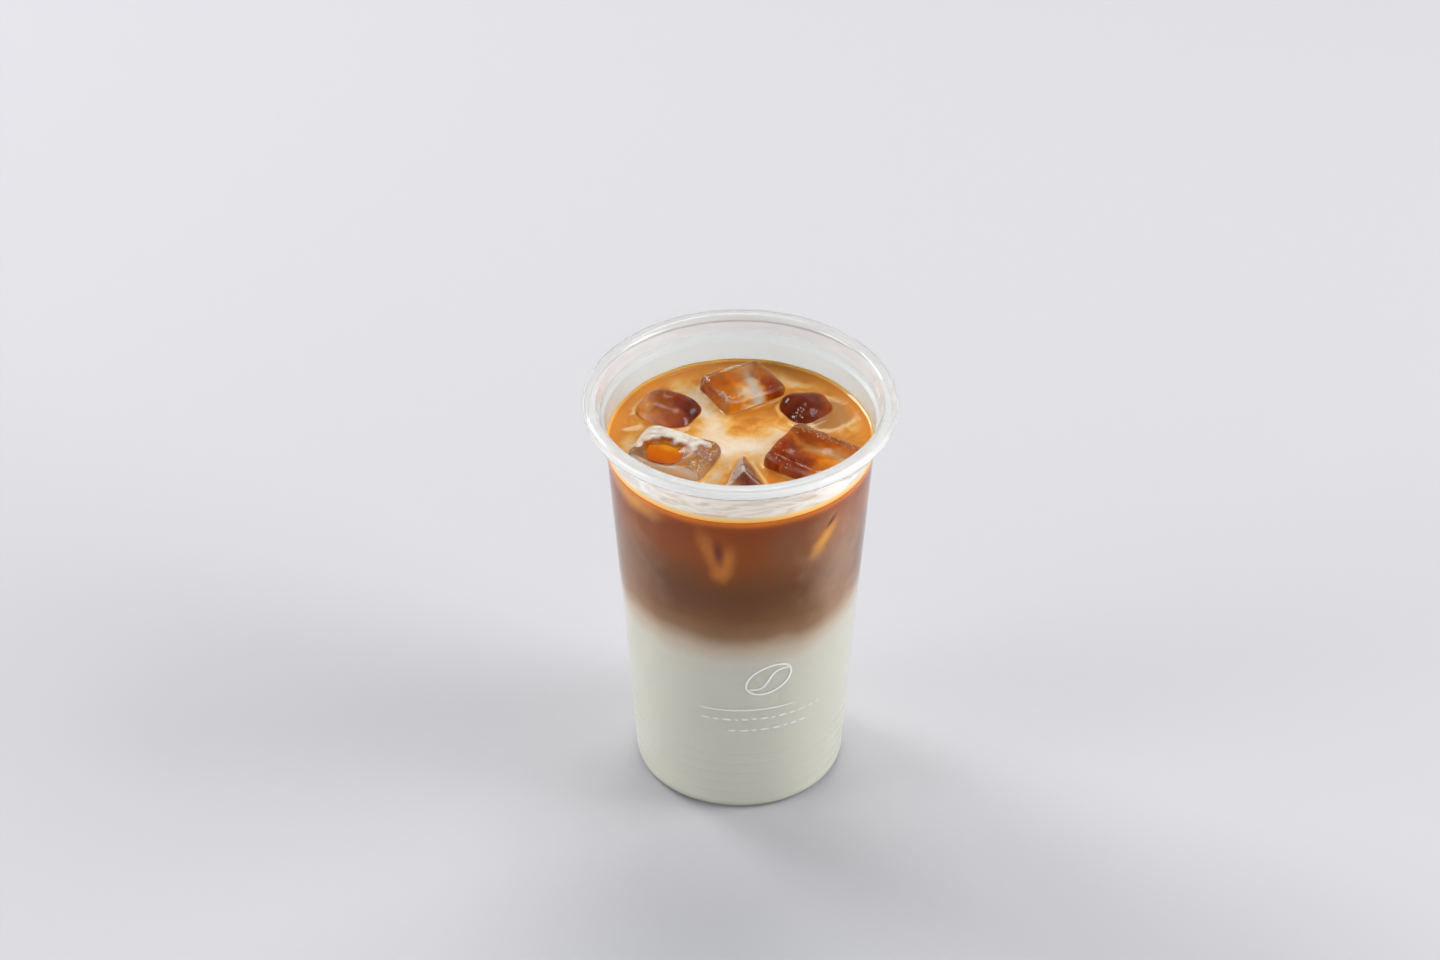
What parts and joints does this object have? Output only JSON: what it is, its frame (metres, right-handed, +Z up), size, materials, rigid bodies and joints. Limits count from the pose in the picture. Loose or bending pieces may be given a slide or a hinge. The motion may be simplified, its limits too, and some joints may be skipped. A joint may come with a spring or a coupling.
{
  "type": "iced milk coffee in a clear cup",
  "caption": "Tall clear tapered cup with a rolled lip, filled with milk under coffee, with rounded ice blocks floating at the top.",
  "frame": {"origin": "centre of the cup's foot, on the surface that it stands on", "axes": "+Z up along the cup's axis, +X to the right and -Y towards the viewer of the side shown"},
  "size_m": [0.098, 0.098, 0.1386],
  "materials": {
    "clear_plastic": "clear thin formed plastic, glossy",
    "milk": "opaque cream-white liquid seen through the cup",
    "coffee": "opaque milky coffee, brown at the side and tan on top",
    "ice": "clear wet ice with small bubbles"
  },
  "bodies": {
    "root": {"cup": "clear_plastic", "milk_layer": "milk", "coffee_layer": "coffee", "ice_left_back": "ice", "ice_back": "ice", "ice_right_back": "ice", "ice_right_front": "ice", "ice_left_front": "ice", "ice_front": "ice"}
  },
  "joints": []
}
